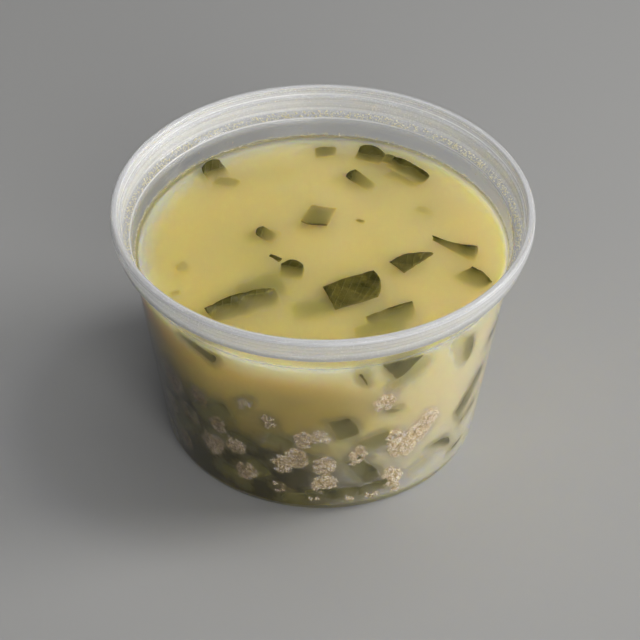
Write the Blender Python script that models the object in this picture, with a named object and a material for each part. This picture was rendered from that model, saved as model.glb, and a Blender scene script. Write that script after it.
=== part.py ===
"""Clear round plastic tub, open at the top, filled with cloudy broth in which cut greens float.

Sizes are in millimetres and become metres where a mesh is made. +Z is up, and the origin is the
middle of the base, on the surface that the tub stands on. +X is right and -Y is the near side.
"""

import math
from collections import namedtuple

import bmesh
import bpy
from mathutils import Euler, Matrix, Vector

MM = 0.001

# Tub, outside
TUB_HEIGHT = 73.9
RIM_RADIUS = 58.5
RIM_ROUNDING = 1.0
EDGE_ROUNDING = 0.5
BEAD_DEPTH = 3.6  # top of the rim down to the underside of its bead
COLLAR_RADIUS = 57.2
COLLAR_DEPTH = 7.7  # top of the rim down to the lower edge of the collar
NECK_REACH = 0.8  # how far the neck under the collar flares out of the wall
WALL_TOP_RADIUS = 53.5
WALL_TOP_HEIGHT = 64.4
BASE_RADIUS = 43.9  # where the tapered wall's line would meet the ground
CORNER_RADIUS = 4.0
FOOT_INNER_RADIUS = 34.4
BASE_RECESS = 0.6

# Tub, inside
WALL = 0.75
LIP_RADIUS = 56.5
LIP_DEPTH = 1.4
STEP_RADIUS = 56.0
STEP_DEPTH = 2.8
COLLAR_INNER_RADIUS = 55.4
COLLAR_DRAFT = 0.1
LEDGE_FILLET = 0.45
LEDGE_OUTER_DEPTH = 7.4
LEDGE_INNER_DEPTH = 8.5
LEDGE_INNER_RADIUS = 53.2

# Broth
BROTH_LEVEL = 59.5
CLEARANCE = 0.3  # between neighbouring pieces
MENISCUS_RISE = 0.7  # how far the broth climbs at the wall
MENISCUS_REACH = 1.6  # how fast that climb dies away from the wall
MENISCUS_RINGS = (0.5, 0.82, 0.93, 0.97, 1.0)  # shares of the radius where the surface has a ring

# Greens
LEAF_THICKNESS = 0.5
LEAF_ACROSS = 4  # cells from one long edge to the other
LEAF_CELL = 1.9  # cell length along a leaf
WAVE_LENGTH = 9.0
WAVE_SKEW = 0.4  # turns the ripples askew to the leaf

TURN_STEPS = 64
CORNER_STEPS = 5
RIM_STEPS = 4
EDGE_STEPS = 2
MERGE_DISTANCE = 1e-6
SHARP_ANGLE = math.radians(32)

# One cut leaf. Its upper edge runs `length` along `heading`, with its middle at x, y and `proud` of the
# broth. The leaf hangs from that edge to the right of the heading: `roll` tilts it down from there, and
# `pitch` sinks the edge's far end. `slant_a` and `slant_b` cut the two ends askew, `point` draws the far
# end out, `bow` arches the upper edge, `sag` hollows the middle and `wave` ripples the whole.
Leaf = namedtuple(
    "Leaf",
    "name x y heading length width_a width_b slant_a slant_b point bow roll pitch proud sag wave",
)

LEAVES = (
    Leaf("leaf_centre", 7.1, -13.7, 27.5, 15.6, 10.2, 10.6, 1.3, 4, 1.6, 0.4, 1.5, -0.5, 0.1, 0, 0.14),
    Leaf("leaf_right", 24.6, -4, 21, 12.8, 5.6, 0.9, -2.1, 0.4, 0.3, 1.6, 4, 1.5, 0.1, 0, 0.14),
    Leaf("leaf_far_right", 36.9, 3.4, -20, 13.2, 1.6, 6.4, -0.6, -1.2, 0.4, -0.7, 32, 0, 0.3, 0.3, 0.3),
    Leaf("leaf_front_left", -22.4, -23, 28, 21.5, 5.6, 7.6, -1.5, 1, 0.6, 1.5, 27, 2, 0.3, 0.4, 0.35),
    Leaf("leaf_front_right", 18.2, -26.3, 25.5, 14.2, 6, 7, 0.6, 1.4, 0.3, 0.2, 30, -4, -0.2, 0.3, 0.25),
    Leaf("leaf_small_mid", -8.2, -8, -6, 6.2, 5, 5.2, 0.2, 0.2, 0.4, 1.4, 34, 0, 0.4, 0.2, 0.22),
    Leaf("leaf_shred", -12.7, -4.3, -31, 3.6, 0.9, 1.5, 0, 0, 0.2, 0.1, 18, 3, 0.3, 0, 0.05),
    Leaf("leaf_small_left", -17.6, 7.2, 66, 4.6, 5.4, 5.8, 0.3, 0.3, 0.2, 0.9, 24, 0, 0.3, 0.1, 0.2),
    Leaf("leaf_mid", -2.4, 10.8, 166, 7.4, 9.4, 8.6, 0.6, 0.8, 0.9, 0.9, 6, 0, 0.2, 1.5, 0.22),
    Leaf("leaf_back_left", -32.2, 36.5, 38, 6.2, 6.4, 6.8, 0.4, -0.6, 0.2, 0.9, 40, 0, 1.5, 0.3, 0.25),
    Leaf("leaf_back_mid", 7.9, 34.1, 54, 4.9, 9.4, 8.6, -0.4, 0.6, 0.3, 0.6, 19, 0, 0.4, 0.2, 0.28),
    Leaf("leaf_back_right", 14.2, 44.6, -22, 7.6, 4.2, 4.6, 0.3, 0.3, 0.3, 1.3, 30, 0, 0.9, 0.2, 0.26),
    Leaf("leaf_back_tail", 25.5, 37.6, -40, 13.4, 4.2, 4.8, 0.2, 0.8, 0.5, 0.8, 31, 1.5, 0.4, 0.3, 0.3),
)
LAID_FLAT = ("leaf_centre", "leaf_right")  # these lie in the surface, so the broth is open above them
OPEN_ABOVE = 4.0


def clear_scene():
    for obj in list(bpy.data.objects):
        bpy.data.objects.remove(obj, do_unlink=True)


def material(name, color, roughness, **sockets):
    mat = bpy.data.materials.new(name)
    mat.use_nodes = True
    shader = mat.node_tree.nodes["Principled BSDF"]
    shader.inputs["Base Color"].default_value = (*color, 1.0)
    shader.inputs["Roughness"].default_value = roughness
    shader.inputs["Metallic"].default_value = 0.0
    for socket, value in sockets.items():
        shader.inputs[socket.replace("_", " ")].default_value = value
    return mat


def add_object(name, mesh, mat):
    obj = bpy.data.objects.new(name, mesh)
    mesh.materials.append(mat)
    bpy.context.scene.collection.objects.link(obj)
    return obj


def arc(centre_r, centre_z, radius, start, end, steps=CORNER_STEPS):
    """Profile points round a centre, from the start angle to the end angle, in degrees."""
    points = []
    for i in range(steps + 1):
        angle = math.radians(start + (end - start) * i / steps)
        points.append((centre_r + radius * math.cos(angle), centre_z + radius * math.sin(angle)))
    return points


WALL_SLOPE = (WALL_TOP_RADIUS - BASE_RADIUS) / WALL_TOP_HEIGHT
WALL_ANGLE = math.degrees(math.atan(WALL_SLOPE))


def wall_radius(height, inset=0.0):
    """Radius of the tapered wall's outer face at a height, or of a surface set in from it."""
    return BASE_RADIUS + WALL_SLOPE * height - inset / math.cos(math.atan(WALL_SLOPE))


def base_corner(inset):
    """Arc from the wall round to the floor, set in from the outer one by the inset."""
    radius = CORNER_RADIUS - inset
    centre_r = wall_radius(CORNER_RADIUS, CORNER_RADIUS)
    return arc(centre_r, CORNER_RADIUS, radius, -WALL_ANGLE, -90)


def floor_profile(inset):
    """From the corner's end inward over the foot ring and the raised middle, to the axis."""
    return [
        (FOOT_INNER_RADIUS + inset / 2, inset),
        (FOOT_INNER_RADIUS - BASE_RECESS + inset / 2, inset + BASE_RECESS),
        (0.0, inset + BASE_RECESS),
    ]


def outside_profile():
    """Down the outer side, from the top of the rim to the middle of the underside."""
    top = TUB_HEIGHT
    bead_low = top - BEAD_DEPTH
    collar_low = top - COLLAR_DEPTH
    points = arc(RIM_RADIUS - RIM_ROUNDING, top - RIM_ROUNDING, RIM_ROUNDING, 90, 0, RIM_STEPS)
    points += arc(RIM_RADIUS - EDGE_ROUNDING, bead_low + EDGE_ROUNDING, EDGE_ROUNDING, 0, -90, EDGE_STEPS)
    points += [(COLLAR_RADIUS, bead_low - COLLAR_DRAFT)]
    low = collar_low + EDGE_ROUNDING
    points += arc(COLLAR_RADIUS - EDGE_ROUNDING, low, EDGE_ROUNDING, 0, -90, EDGE_STEPS)
    points += [
        (WALL_TOP_RADIUS + NECK_REACH, WALL_TOP_HEIGHT + NECK_REACH / 2),
        (WALL_TOP_RADIUS, WALL_TOP_HEIGHT),
    ]
    points += base_corner(0.0)
    return points + floor_profile(0.0)


def inside_profile():
    """Up the inner side, from the middle of the floor to the top of the rim."""
    top = TUB_HEIGHT
    ledge_low = top - LEDGE_INNER_DEPTH
    ledge_high = top - LEDGE_OUTER_DEPTH
    points = list(reversed(floor_profile(WALL)))
    points += list(reversed(base_corner(WALL)))
    points += [
        (wall_radius(WALL_TOP_HEIGHT, WALL), WALL_TOP_HEIGHT),
        (LEDGE_INNER_RADIUS, ledge_low),
        (COLLAR_INNER_RADIUS - LEDGE_FILLET, ledge_high),
        (COLLAR_INNER_RADIUS, ledge_high + LEDGE_FILLET),
        (COLLAR_INNER_RADIUS + COLLAR_DRAFT, top - STEP_DEPTH - COLLAR_DRAFT),
        (STEP_RADIUS, top - STEP_DEPTH),
        (LIP_RADIUS, top - LIP_DEPTH),
    ]
    lip = arc(LIP_RADIUS + EDGE_ROUNDING, top - EDGE_ROUNDING, EDGE_ROUNDING, 180, 90, EDGE_STEPS)
    return points + lip


def broth_profile():
    """From the middle of the surface out to the wall, then down and in to the middle of the floor."""
    inset = WALL + CLEARANCE
    edge = wall_radius(BROTH_LEVEL + MENISCUS_RISE, inset)
    points = [(0.0, BROTH_LEVEL)]
    for share in MENISCUS_RINGS:
        radius = edge * share
        rise = MENISCUS_RISE * math.exp((radius - edge) / MENISCUS_REACH)
        points.append((radius, BROTH_LEVEL + rise))
    return points + base_corner(inset) + floor_profile(inset)


def turned_mesh(name, profile):
    """The profile turned round the Z axis. It runs down the outer side, so the faces point out."""
    bm = bmesh.new()
    verts = [bm.verts.new((radius * MM, 0.0, height * MM)) for radius, height in profile]
    edges = [bm.edges.new(pair) for pair in zip(verts, verts[1:])]
    if profile[0][0] > 0.0:
        edges.append(bm.edges.new((verts[-1], verts[0])))
    bmesh.ops.spin(
        bm,
        geom=verts + edges,
        cent=(0.0, 0.0, 0.0),
        axis=(0.0, 0.0, 1.0),
        angle=2 * math.pi,
        steps=TURN_STEPS,
        use_merge=True,
    )
    bmesh.ops.remove_doubles(bm, verts=bm.verts, dist=MERGE_DISTANCE)
    bmesh.ops.recalc_face_normals(bm, faces=bm.faces)
    mesh = bpy.data.meshes.new(name)
    bm.to_mesh(mesh)
    bm.free()
    mesh.shade_smooth()
    mesh.set_sharp_from_angle(angle=SHARP_ANGLE)
    return mesh


def arch(share):
    """A parabola that is 0 at both ends and 1 in the middle."""
    return 4 * share * (1 - share)


def leaf_point(leaf, along, across):
    """Middle of the leaf's thickness in its own frame. Along and across run from 0 to 1."""
    start = -leaf.slant_a * (1 - across)
    end = leaf.length - leaf.slant_b * (1 - across) + leaf.point * arch(across)
    width = leaf.width_a + (leaf.width_b - leaf.width_a) * along
    x = start + (end - start) * along - leaf.length / 2
    y = -(1 - across) * width + leaf.bow * arch(along) * across
    ripple = leaf.wave * math.sin(2 * math.pi * (x + WAVE_SKEW * y) / WAVE_LENGTH + leaf.heading)
    return Vector((x, y, ripple - leaf.sag * arch(across)))


def leaf_mesh(leaf, grow=0.0, above=None):
    """Closed sheet about the leaf's middle surface, both faces split into triangles alike."""
    cells = max(2, round(leaf.length / LEAF_CELL))
    half = LEAF_THICKNESS / 2 + grow
    width = max(leaf.width_a, leaf.width_b)
    reach_along = grow / leaf.length
    reach_across = grow / width
    bm = bmesh.new()
    layers = []
    for offset in (half if above is None else above, -half):
        rows = []
        for j in range(LEAF_ACROSS + 1):
            across = -reach_across + (1 + 2 * reach_across) * j / LEAF_ACROSS
            row = []
            for i in range(cells + 1):
                along = -reach_along + (1 + 2 * reach_along) * i / cells
                row.append(bm.verts.new((leaf_point(leaf, along, across) + Vector((0, 0, offset))) * MM))
            rows.append(row)
        layers.append(rows)
    upper, lower = layers
    for j in range(LEAF_ACROSS):
        for i in range(cells):
            for rows in layers:
                a, b = rows[j][i], rows[j][i + 1]
                c, d = rows[j + 1][i + 1], rows[j + 1][i]
                bm.faces.new((a, b, c))
                bm.faces.new((a, c, d))
    for j in (0, LEAF_ACROSS):
        for i in range(cells):
            bm.faces.new((upper[j][i], upper[j][i + 1], lower[j][i + 1], lower[j][i]))
    for i in (0, cells):
        for j in range(LEAF_ACROSS):
            bm.faces.new((upper[j][i], upper[j + 1][i], lower[j + 1][i], lower[j][i]))
    bmesh.ops.recalc_face_normals(bm, faces=bm.faces)
    mesh = bpy.data.meshes.new(leaf.name)
    bm.to_mesh(mesh)
    bm.free()
    mesh.shade_smooth()
    mesh.set_sharp_from_angle(angle=SHARP_ANGLE)
    return mesh


def place_leaf(obj, leaf):
    turn = Euler((math.radians(leaf.roll), math.radians(leaf.pitch), math.radians(leaf.heading)))
    spot = Vector((leaf.x, leaf.y, BROTH_LEVEL + leaf.proud)) * MM
    obj.matrix_world = Matrix.Translation(spot) @ turn.to_matrix().to_4x4()


def add_tub(mat):
    return add_object("tub", turned_mesh("tub", outside_profile() + inside_profile()), mat)


def add_broth(mat, cutters):
    broth = add_object("broth", turned_mesh("broth", broth_profile()), mat)
    slots = broth.modifiers.new("leaf_slots", "BOOLEAN")
    slots.operation = "DIFFERENCE"
    slots.solver = "EXACT"
    slots.operand_type = "COLLECTION"
    slots.collection = cutters
    return broth


def add_leaves(mat, cutters):
    for leaf in LEAVES:
        obj = add_object(leaf.name, leaf_mesh(leaf), mat)
        place_leaf(obj, leaf)
        above = OPEN_ABOVE if leaf.name in LAID_FLAT else None
        cutter = bpy.data.objects.new(leaf.name + "_slot", leaf_mesh(leaf, CLEARANCE, above))
        place_leaf(cutter, leaf)
        cutter.hide_render = True
        cutter.display_type = "WIRE"
        cutters.objects.link(cutter)


def main():
    clear_scene()
    clear = material("clear_plastic", (0.86, 0.87, 0.88), 0.15, Transmission_Weight=0.85, IOR=1.49)
    soup = material("cloudy_broth", (0.52, 0.42, 0.16), 0.08)
    green = material("cooked_leaf", (0.07, 0.075, 0.02), 0.35)
    cutters = bpy.data.collections.new("leaf_slots")
    bpy.context.scene.collection.children.link(cutters)
    add_tub(clear)
    add_leaves(green, cutters)
    add_broth(soup, cutters)


main()
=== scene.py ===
# Clear plastic tub of cloudy soup with cut greens and meat crumbles.
# The frame is in metres; sizes below are in millimetres and pass through mm.
import math
import random

import bmesh
import bpy
import numpy as np
from mathutils import Euler, Matrix, Vector, kdtree, noise


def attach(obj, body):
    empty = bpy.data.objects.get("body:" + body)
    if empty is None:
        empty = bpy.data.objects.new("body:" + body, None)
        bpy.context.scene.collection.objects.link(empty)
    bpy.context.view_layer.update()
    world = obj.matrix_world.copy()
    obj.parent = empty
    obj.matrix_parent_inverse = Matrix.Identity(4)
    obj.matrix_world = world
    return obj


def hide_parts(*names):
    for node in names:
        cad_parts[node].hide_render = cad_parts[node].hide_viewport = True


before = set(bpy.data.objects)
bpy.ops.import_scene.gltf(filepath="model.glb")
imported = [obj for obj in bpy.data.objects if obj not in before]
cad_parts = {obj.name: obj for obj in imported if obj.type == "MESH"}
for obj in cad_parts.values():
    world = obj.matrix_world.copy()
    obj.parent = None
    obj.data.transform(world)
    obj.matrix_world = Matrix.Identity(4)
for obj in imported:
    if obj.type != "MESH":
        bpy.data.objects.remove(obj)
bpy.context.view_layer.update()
mm = 0.001
# the leaves' ragged edges come out the same in every run
noise.seed_set(5)
print("frame loaded,", len(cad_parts), "nodes")


# small helpers for node trees; a socket knows its own tree

def give(socket, value):
    # value is a number, a vector, a colour or what another node puts out
    if isinstance(value, bpy.types.NodeSocket):
        socket.id_data.links.new(value, socket)
    elif socket.type == "RGBA":
        socket.default_value = (*value, 1.0)
    else:
        socket.default_value = value


def addNode(tree, kind, inputs=None, **settings):
    node = tree.nodes.new(kind)
    for key, value in settings.items():
        setattr(node, key, value)
    for key, value in (inputs or {}).items():
        give(node.inputs[key], value)
    return node


def newGroup(name, kind, inputs, outputs):
    # a node group with named sockets, and what its input node puts out
    tree = bpy.data.node_groups.new(name, kind)
    for sockets, way in ((inputs, "INPUT"), (outputs, "OUTPUT")):
        for label, socketKind in sockets.items():
            tree.interface.new_socket(label, in_out=way, socket_type="NodeSocket" + socketKind)
    return tree, addNode(tree, "NodeGroupInput").outputs


def newMaterial(name):
    mat = bpy.data.materials.new(name)
    mat.use_nodes = True
    mat.node_tree.nodes.clear()
    return mat, mat.node_tree


def finished(mat, surface, **others):
    addNode(mat.node_tree, "ShaderNodeOutputMaterial", {"Surface": surface, **others})
    return mat


def coordinates(tree):
    return addNode(tree, "ShaderNodeTexCoord").outputs


def attribute(tree, name):
    return addNode(tree, "ShaderNodeAttribute", attribute_name=name).outputs["Fac"]


def principled(tree, inputs):
    return addNode(tree, "ShaderNodeBsdfPrincipled", {"Metallic": 0.0, **inputs}).outputs["BSDF"]


def noiseAt(place, scale, detail=2.0, roughness=0.5, distortion=0.0):
    return addNode(place.id_data, "ShaderNodeTexNoise", {
        "Vector": place, "Scale": scale, "Detail": detail, "Roughness": roughness,
        "Distortion": distortion}).outputs["Fac"]


def edgeCells(place, scale):
    # distance from the edges of small uneven cells
    return addNode(place.id_data, "ShaderNodeTexVoronoi", {"Vector": place, "Scale": scale},
                   feature="DISTANCE_TO_EDGE").outputs["Distance"]


def bumpFrom(height, strength, distance):
    return addNode(height.id_data, "ShaderNodeBump", {
        "Height": height, "Strength": strength, "Distance": distance * mm}).outputs["Normal"]


def ramp(factor, stops):
    node = addNode(factor.id_data, "ShaderNodeValToRGB", {"Fac": factor})
    band = node.color_ramp
    while len(band.elements) < len(stops):
        band.elements.new(0.5)
    for element, (place, colour) in zip(band.elements, stops):
        element.position = place
        element.color = (*colour, 1.0)
    return node.outputs["Color"]


def mapRange(value, low, high, toLow=0.0, toHigh=1.0):
    return addNode(value.id_data, "ShaderNodeMapRange", {
        "Value": value, "From Min": low, "From Max": high, "To Min": toLow,
        "To Max": toHigh}).outputs["Result"]


def mapSize(value, low, high, toLow=0.0, toHigh=1.0):
    # the same between two sizes in millimetres
    return mapRange(value, low * mm, high * mm, toLow, toHigh)


def combine(operation, first, *others):
    # maths of a socket with sockets and numbers, from left to right
    for other in others or (0.0,):
        node = addNode(first.id_data, "ShaderNodeMath", {0: first, 1: other}, operation=operation)
        first = node.outputs["Value"]
    return first


def plus(*values):
    return combine("ADD", *values)


def minus(*values):
    return combine("SUBTRACT", *values)


def times(*values):
    return combine("MULTIPLY", *values)


def mixColours(factor, first, second):
    return addNode(factor.id_data, "ShaderNodeMix", {"Factor": factor, "A": first, "B": second},
                   data_type="RGBA").outputs["Result"]


def blendShaders(factor, first, second):
    return addNode(factor.id_data, "ShaderNodeMixShader", {
        "Fac": factor, 1: first, 2: second}).outputs["Shader"]


def litThrough(surface, tint):
    # lamps shine through a clear surface, which plain glass would shadow
    passing = addNode(surface.id_data, "ShaderNodeBsdfTransparent", {"Color": tint})
    path = addNode(surface.id_data, "ShaderNodeLightPath")
    return blendShaders(path.outputs["Is Shadow Ray"], surface, passing.outputs["BSDF"])


def axes(place):
    return addNode(place.id_data, "ShaderNodeSeparateXYZ", {"Vector": place}).outputs


def radiusOf(parts):
    flat = addNode(parts["X"].id_data, "ShaderNodeCombineXYZ", {"X": parts["X"], "Y": parts["Y"]})
    return addNode(parts["X"].id_data, "ShaderNodeVectorMath", {0: flat.outputs["Vector"]},
                   operation="LENGTH").outputs["Value"]


def sideOf(parts):
    # colours change from left to right across the near side, from painted shade on the left to painted light
    # on the right, and the unseen side turns to the right's
    return plus(parts["X"], times(combine("MAXIMUM", parts["Y"], 0.0), 0.85))


def drawn(given, kind, offset, low=0.0, high=1.0):
    # a random value for each point, with a seed of its own
    node = addNode(given["Seed"].id_data, "FunctionNodeRandomValue", {"Seed": plus(given["Seed"], offset)},
                   data_type=kind)
    for socket, value in zip([i for i in node.inputs if i.enabled], (low, high)):
        give(socket, value)
    return next(o for o in node.outputs if o.enabled)


def dressed(given, geometry):
    # the last nodes of a tree: smooth shading and the material
    tree = geometry.id_data
    smooth = addNode(tree, "GeometryNodeSetShadeSmooth", {"Geometry": geometry})
    coated = addNode(tree, "GeometryNodeSetMaterial", {
        "Geometry": smooth.outputs["Geometry"], "Material": given["Material"]})
    addNode(tree, "NodeGroupOutput", {"Geometry": coated.outputs["Geometry"]})
    return tree


def throughNodes(mesh, tree, values):
    # the mesh that a geometry node tree makes of a given mesh
    holder = bpy.data.objects.new(mesh.name + "Holder", mesh)
    bpy.context.scene.collection.objects.link(holder)
    modifier = holder.modifiers.new("nodes", "NODES")
    modifier.node_group = tree
    sockets = {item.name: item.identifier for item in tree.interface.items_tree if item.in_out == "INPUT"}
    for label, value in values.items():
        modifier[sockets[label]] = value
    made = bpy.data.meshes.new_from_object(holder.evaluated_get(bpy.context.evaluated_depsgraph_get()))
    holder.modifiers.remove(modifier)
    bpy.data.objects.remove(holder)
    return made


# meshes and pieces

def faceOutwards(mesh):
    bm = bmesh.new()
    bm.from_mesh(mesh)
    if bm.calc_volume(signed=True) < 0:
        bmesh.ops.reverse_faces(bm, faces=bm.faces)
        bm.to_mesh(mesh)
    bm.free()


def meshOf(name, verts, faces, uvs=(), **marks):
    # a smooth mesh with its UV map, and a value at each point for each mark
    mesh = bpy.data.meshes.new(name)
    mesh.from_pydata(verts, [], faces)
    if len(uvs):
        mesh.uv_layers.new(name="surface").data.foreach_set("uv", uvs)
    for mark, values in marks.items():
        mesh.attributes.new(mark, "FLOAT", "POINT").data.foreach_set("value", values)
    faceOutwards(mesh)
    mesh.shade_smooth()
    return mesh


def addPiece(name, mesh, mat, nodes=()):
    obj = bpy.data.objects.new(name, mesh)
    bpy.context.scene.collection.objects.link(obj)
    mesh.materials.clear()
    mesh.materials.append(mat)
    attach(obj, "root")
    if nodes:
        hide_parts(*nodes)


# turned shapes

tub = {
    "height": 73.9, "rimRadius": 58.5, "rimRounding": 1.0, "edgeRounding": 0.5, "beadDepth": 3.6,
    "collarRadius": 57.2, "collarDepth": 7.7, "neckReach": 0.8, "wallTopRadius": 53.5,
    "wallTopHeight": 64.4, "baseRadius": 43.9, "cornerRadius": 4.0, "footInner": 34.4, "recess": 0.6,
    "wall": 0.75, "lipRadius": 56.5, "lipDepth": 1.4, "stepRadius": 56.0, "stepDepth": 2.8,
    "collarInner": 55.4, "draft": 0.1, "ledgeFillet": 0.45, "ledgeOuterDepth": 7.4,
    "ledgeInnerDepth": 8.5, "ledgeInner": 53.2,
}
turning = {"segments": 288, "arcSteps": 8, "edgeSteps": 5, "softening": 0.22, "softSteps": 3,
           "softShare": 0.4, "sharpTurn": 14, "uvScale": 0.01}

wallSlope = (tub["wallTopRadius"] - tub["baseRadius"]) / tub["wallTopHeight"]
wallAngle = math.atan(wallSlope)


def wallRadius(height, inset=0.0):
    return tub["baseRadius"] + wallSlope * height - inset / math.cos(wallAngle)


def behindWall(point):
    # how deep a point lies behind the wall's inner face
    return wallRadius(point[2], tub["wall"]) - math.hypot(point[0], point[1])


def arc(centreR, centreZ, radius, start, end, steps=turning["arcSteps"]):
    angles = [math.radians(start + (end - start) * i / steps) for i in range(steps + 1)]
    return [(centreR + radius * math.cos(a), centreZ + radius * math.sin(a)) for a in angles]


def baseCorner(inset):
    centreR = wallRadius(tub["cornerRadius"], tub["cornerRadius"])
    return arc(centreR, tub["cornerRadius"], tub["cornerRadius"] - inset, -math.degrees(wallAngle), -90)


def floorLine(inset):
    inner, recess = tub["footInner"], tub["recess"]
    return [(inner + inset / 2, inset), (inner - recess + inset / 2, inset + recess), (0.0, inset + recess)]


def softened(points):
    # rounds every corner that turns by more than a few degrees
    out = [points[0]]
    for before, here, after in zip(points, points[1:], points[2:]):
        corner = Vector(here)
        back, ahead = Vector(before) - corner, Vector(after) - corner
        turn = back.angle(-ahead, 0.0) if back.length and ahead.length else 0.0
        if turn < math.radians(turning["sharpTurn"]) or here[0] == 0.0:
            out.append(here)
            continue
        share = turning["softShare"]
        reach = min(turning["softening"], share * back.length, share * ahead.length)
        start, end = corner + back.normalized() * reach, corner + ahead.normalized() * reach
        for i in range(turning["softSteps"] + 1):
            t = i / turning["softSteps"]
            out.append(tuple(start * (1 - t) ** 2 + corner * 2 * t * (1 - t) + end * t ** 2))
    out.append(points[-1])
    return out


def turnedMesh(name, profile, closed=False, segments=turning["segments"]):
    # a ring for each profile point; a point on the axis is one vertex
    verts, rings, along, travelled = [], [], [], 0.0
    for index, (radius, height) in enumerate(profile):
        if index:
            travelled += math.dist(profile[index - 1], profile[index])
        along.append(travelled)
        if radius == 0.0:
            rings.append([len(verts)] * segments)
            verts.append((0.0, 0.0, height * mm))
        else:
            rings.append(list(range(len(verts), len(verts) + segments)))
            for s in range(segments):
                angle = 2 * math.pi * s / segments
                verts.append((radius * math.cos(angle) * mm, radius * math.sin(angle) * mm, height * mm))
    pairs = list(zip(range(len(rings)), range(1, len(rings))))
    if closed:
        pairs.append((len(rings) - 1, 0))
        along.append(travelled + math.dist(profile[-1], profile[0]))
    faces, uvs = [], []
    for row, (i, j) in enumerate(pairs):
        for s in range(segments):
            t = (s + 1) % segments
            face = [rings[i][s], rings[j][s], rings[j][t], rings[i][t]]
            uv = [(s, along[row]), (s, along[row + 1]), (s + 1, along[row + 1]), (s + 1, along[row])]
            if profile[i][0] == 0.0 and profile[j][0] == 0.0:
                break
            if profile[i][0] == 0.0:
                face, uv = face[:3], uv[:3]
            elif profile[j][0] == 0.0:
                face, uv = [face[0], face[1], face[3]], [uv[0], uv[1], uv[3]]
            faces.append(face)
            uvs += [x for u, v in uv for x in (u / segments, v * turning["uvScale"])]
    return meshOf(name, verts, faces, uvs)


# the clear tub

def tubProfile():
    top, edge, corners = tub["height"], tub["edgeRounding"], turning["edgeSteps"]
    beadLow, collarLow = top - tub["beadDepth"], top - tub["collarDepth"]
    ledgeHigh = top - tub["ledgeOuterDepth"]
    outside = arc(tub["rimRadius"] - tub["rimRounding"], top - tub["rimRounding"], tub["rimRounding"], 90, 0)
    outside += arc(tub["rimRadius"] - edge, beadLow + edge, edge, 0, -90, corners)
    outside += [(tub["collarRadius"], beadLow - tub["draft"])]
    outside += arc(tub["collarRadius"] - edge, collarLow + edge, edge, 0, -90, corners)
    outside += [
        (tub["wallTopRadius"] + tub["neckReach"], tub["wallTopHeight"] + tub["neckReach"] / 2),
        (tub["wallTopRadius"], tub["wallTopHeight"]),
    ]
    outside += baseCorner(0.0) + floorLine(0.0)
    inside = floorLine(tub["wall"])[::-1] + baseCorner(tub["wall"])[::-1]
    inside += [
        (wallRadius(tub["wallTopHeight"], tub["wall"]), tub["wallTopHeight"]),
        (tub["ledgeInner"], top - tub["ledgeInnerDepth"]),
        (tub["collarInner"] - tub["ledgeFillet"], ledgeHigh),
        (tub["collarInner"], ledgeHigh + tub["ledgeFillet"]),
        (tub["collarInner"] + tub["draft"], top - tub["stepDepth"] - tub["draft"]),
        (tub["stepRadius"], top - tub["stepDepth"]),
        (tub["lipRadius"], top - tub["lipDepth"]),
    ]
    inside += arc(tub["lipRadius"] + edge, top - edge, edge, 180, 90, corners)
    return softened(outside + inside)


plastic = {
    "clear": (0.97, 0.98, 0.985), "milky": (0.90, 0.905, 0.92), "shadow": (0.93, 0.93, 0.93),
    # fine rings left by the mould run all the way round, over a faint ripple of the thin wall
    "ringScale": 70.0, "rippleScale": 70.0, "ripple": 0.25, "relief": 0.04, "reliefDepth": 0.01,
    "speckScale": 900.0, "smoothest": 0.03, "roughest": 0.10,
    # share of milk-white plastic in the thin wall, in the rim above a height, and in the thick bead round the
    # top
    "wallShare": 0.008, "rimShare": 0.27, "rimFrom": 63.0, "rimTo": 66.5,
    "beadShare": 0.34, "beadFrom": 70.0, "beadTo": 70.6, "beadInner": 56.5, "beadOuter": 56.9,
    "frost": 0.22, "frostScale": 2600.0, "frostPatches": 45.0,
    # whiter lines round the tub, painted highlights along its rounded edges, and a broad whiter band over the
    # collar: radius, height, half width and strength
    "lines": [(53.25, 65.4, 0.28, 0.45), (57.2, 73.9, 0.35, 0.3), (56.25, 71.7, 0.25, 0.3),
              (58.4, 73.1, 0.3, 0.35), (57.2, 66.4, 0.3, 0.35), (58.3, 70.5, 0.25, 0.25),
              (57.2, 68.3, 2.2, 0.36)],
}


def milkAndHighlightShare(place, rings):
    parts = axes(place)
    radius, height = radiusOf(parts), parts["Z"]
    rim = mapSize(height, plastic["rimFrom"], plastic["rimTo"])
    frost = mapRange(noiseAt(place, plastic["frostScale"], 1.0), 0.54, 0.66, 0.0, plastic["frost"])
    frosty = times(frost, mapRange(noiseAt(place, plastic["frostPatches"]), 0.35, 0.65, 0.3, 1.0), rim)
    bead = times(mapSize(height, plastic["beadFrom"], plastic["beadTo"], 0.0, plastic["beadShare"]),
                 mapSize(radius, plastic["beadInner"], plastic["beadOuter"]))
    share = plus(times(rim, plastic["rimShare"]), plastic["wallShare"], frosty, bead)
    # painted highlights: the whiter lines add to the milk-white share
    for lineRadius, lineHeight, halfWidth, strength in plastic["lines"]:
        across = combine("ABSOLUTE", minus(radius, lineRadius * mm))
        upward = combine("ABSOLUTE", minus(height, lineHeight * mm))
        farther = combine("MAXIMUM", across, upward)
        share = plus(share, mapSize(farther, 0.4 * halfWidth, halfWidth, strength, 0.0))
    return times(share, mapRange(rings, 0.35, 0.7, 0.75, 1.3))


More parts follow.
